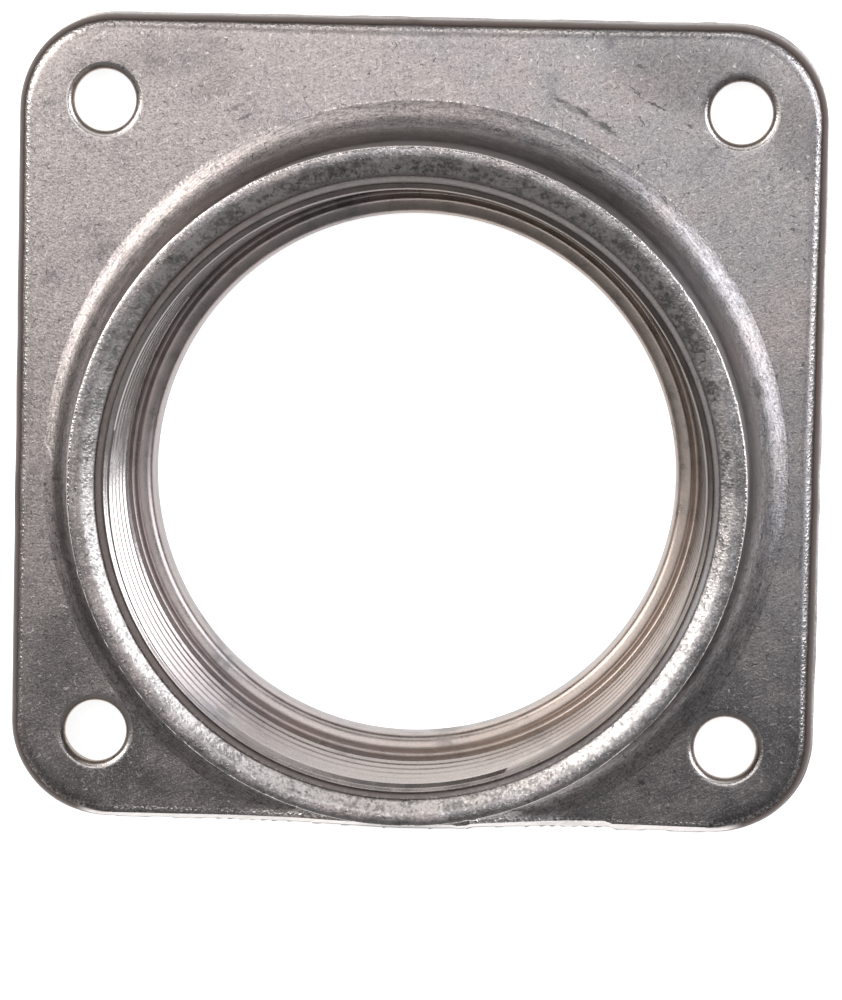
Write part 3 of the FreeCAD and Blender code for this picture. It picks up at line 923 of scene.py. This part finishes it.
class HUB_OT_finish(bpy.types.Operator):
    """Give the casting its smooth shading and tumbled metal skin"""

    bl_idname = "hub.finish"
    bl_label = "Finish"

    def execute(self, context):
        piece = bpy.data.objects[PIECE]
        pick(piece)
        bpy.ops.object.shade_smooth_by_angle(angle=math.radians(38))
        piece.data.materials.clear()
        piece.data.materials.append(cast_metal(context.scene.hub_sizes, context.scene.hub_finish))
        return {"FINISHED"}


# The floor lies a hair below the back face, so that the two never share a plane
FLOOR_DROP = 0.05 * MM


def pale_floor(stage):
    """White floor that keeps the shadow, shows the same in reflections and is clear from below."""
    material = bpy.data.materials.new("pale_floor")
    material.use_nodes = True
    tree = material.node_tree
    tree.nodes.clear()
    maker = Wire(tree, None)
    path = maker.node("ShaderNodeLightPath", output="Is Camera Ray")
    rays = path.socket.node.outputs
    seen = path.over(Wire(tree, rays["Is Glossy Ray"])).over(Wire(tree, rays["Is Transmission Ray"]))
    shader = maker.node(
        "ShaderNodeBsdfPrincipled",
        None,
        {"Base Color": opaque(stage.floor_colour), "Roughness": 0.9, "Specular IOR Level": 0.0,
         "Emission Color": seen.tone((0, 0, 0, 1), (1, 1, 1, 1)), "Emission Strength": stage.floor_glow},
    )
    below = maker.node("ShaderNodeNewGeometry", output="Backfacing")
    clear = maker.node("ShaderNodeBsdfTransparent")
    shader = maker.node("ShaderNodeMixShader", None, {0: below, 1: shader, 2: clear})
    maker.node("ShaderNodeOutputMaterial", None, {"Surface": shader})
    return material


def aim(thing, target, roll):
    """Turn a camera or light to look at a point."""
    look = (Vector(target) - thing.location).normalized()
    side = look.cross(Vector((math.sin(roll), math.cos(roll), 0.0))).normalized()
    lift = side.cross(look)
    thing.rotation_euler = Matrix((side, lift, -look)).transposed().to_euler()


def soft_light(name, place, target, width, height, power, colour):
    """A rectangular soft light."""
    lamp = bpy.data.lights.new(name, "AREA")
    lamp.shape = "RECTANGLE"
    lamp.size = width
    lamp.size_y = height
    lamp.energy = power
    lamp.color = colour
    holder = bpy.data.objects.new(name, lamp)
    bpy.context.scene.collection.objects.link(holder)
    holder.location = place
    aim(holder, target, 0.0)


class HUB_OT_stage(bpy.types.Operator):
    """Lay the pale floor, hang the soft lights and set the camera"""

    bl_idname = "hub.stage"
    bl_label = "Stage"

    def execute(self, context):
        stage = context.scene.hub_stage
        start_clean()
        bpy.ops.mesh.primitive_grid_add(
            x_subdivisions=4, y_subdivisions=4, size=6.0, location=(0, 0, -FLOOR_DROP)
        )
        floor = context.object
        floor.name = "pale_floor"
        floor.data.materials.append(pale_floor(stage))

        middle = (0.0, 0.0, 0.01)
        lights = (
            ("key_light", (-0.45, 0.265, 0.447), 0.37, 0.44, stage.key_power, (1.0, 0.96, 0.93)),
            ("fill_light", (0.475, 0.195, 0.418), 0.39, 0.47, stage.fill_power, (0.96, 0.965, 1.0)),
            ("top_light", (-0.05, 0.08, 0.5), 0.36, 0.18, stage.top_power, (1.0, 0.98, 0.97)),
            ("back_light", (0.0, 0.5, 0.4), 0.6, 0.25, stage.back_power, (1.0, 0.97, 0.95)),
        )
        for name, place, width, height, power, colour in lights:
            soft_light(name, place, middle, width, height, power, colour)

        world = bpy.data.worlds.new("even_light")
        context.scene.world = world
        world.use_nodes = True
        backdrop = world.node_tree.nodes["Background"]
        backdrop.inputs["Color"].default_value = (1.0, 0.98, 0.97, 1.0)
        backdrop.inputs["Strength"].default_value = stage.world_level

        lens = bpy.data.cameras.new("camera")
        lens.sensor_width = 36.0
        lens.lens = 164.983
        lens.clip_start = 0.01
        lens.dof.use_dof = False
        camera = bpy.data.objects.new("camera", lens)
        context.scene.collection.objects.link(camera)
        camera.location = (0.0217892, 0.0293945, 0.45)
        aim(camera, (0.0006695, -0.0073833, 0.004), -0.0211)
        context.scene.camera = camera
        context.scene.view_settings.view_transform = "Standard"
        return {"FINISHED"}


class HUB_PT_panel(bpy.types.Panel):
    """Lists the hub's sizes, colours and steps"""

    bl_idname = "HUB_PT_panel"
    bl_label = "Conduit hub"
    bl_space_type = "VIEW_3D"
    bl_region_type = "UI"
    bl_category = "Hub"

    def draw(self, context):
        layout = self.layout
        for group in (context.scene.hub_sizes, context.scene.hub_finish, context.scene.hub_stage):
            box = layout.box()
            for key in group.__annotations__:
                box.prop(group, key)
        for step in STEPS:
            layout.operator(step.bl_idname)


STEPS = (HUB_OT_casting, HUB_OT_bolt_holes, HUB_OT_thread, HUB_OT_finish, HUB_OT_stage)
GROUPS = {"hub_sizes": HubSizes, "hub_finish": HubFinish, "hub_stage": HubStage}
CLASSES = tuple(GROUPS.values()) + STEPS + (HUB_PT_panel,)


def register():
    for each in CLASSES:
        bpy.utils.register_class(each)
    for name, group in GROUPS.items():
        setattr(bpy.types.Scene, name, bpy.props.PointerProperty(type=group))


def unregister():
    for name in GROUPS:
        delattr(bpy.types.Scene, name)
    for each in reversed(CLASSES):
        bpy.utils.unregister_class(each)


def main():
    register()
    bpy.ops.hub.casting()
    bpy.ops.hub.bolt_holes()
    bpy.ops.hub.thread()
    bpy.ops.hub.finish()
    bpy.ops.hub.stage()


if __name__ == "__main__":
    main()
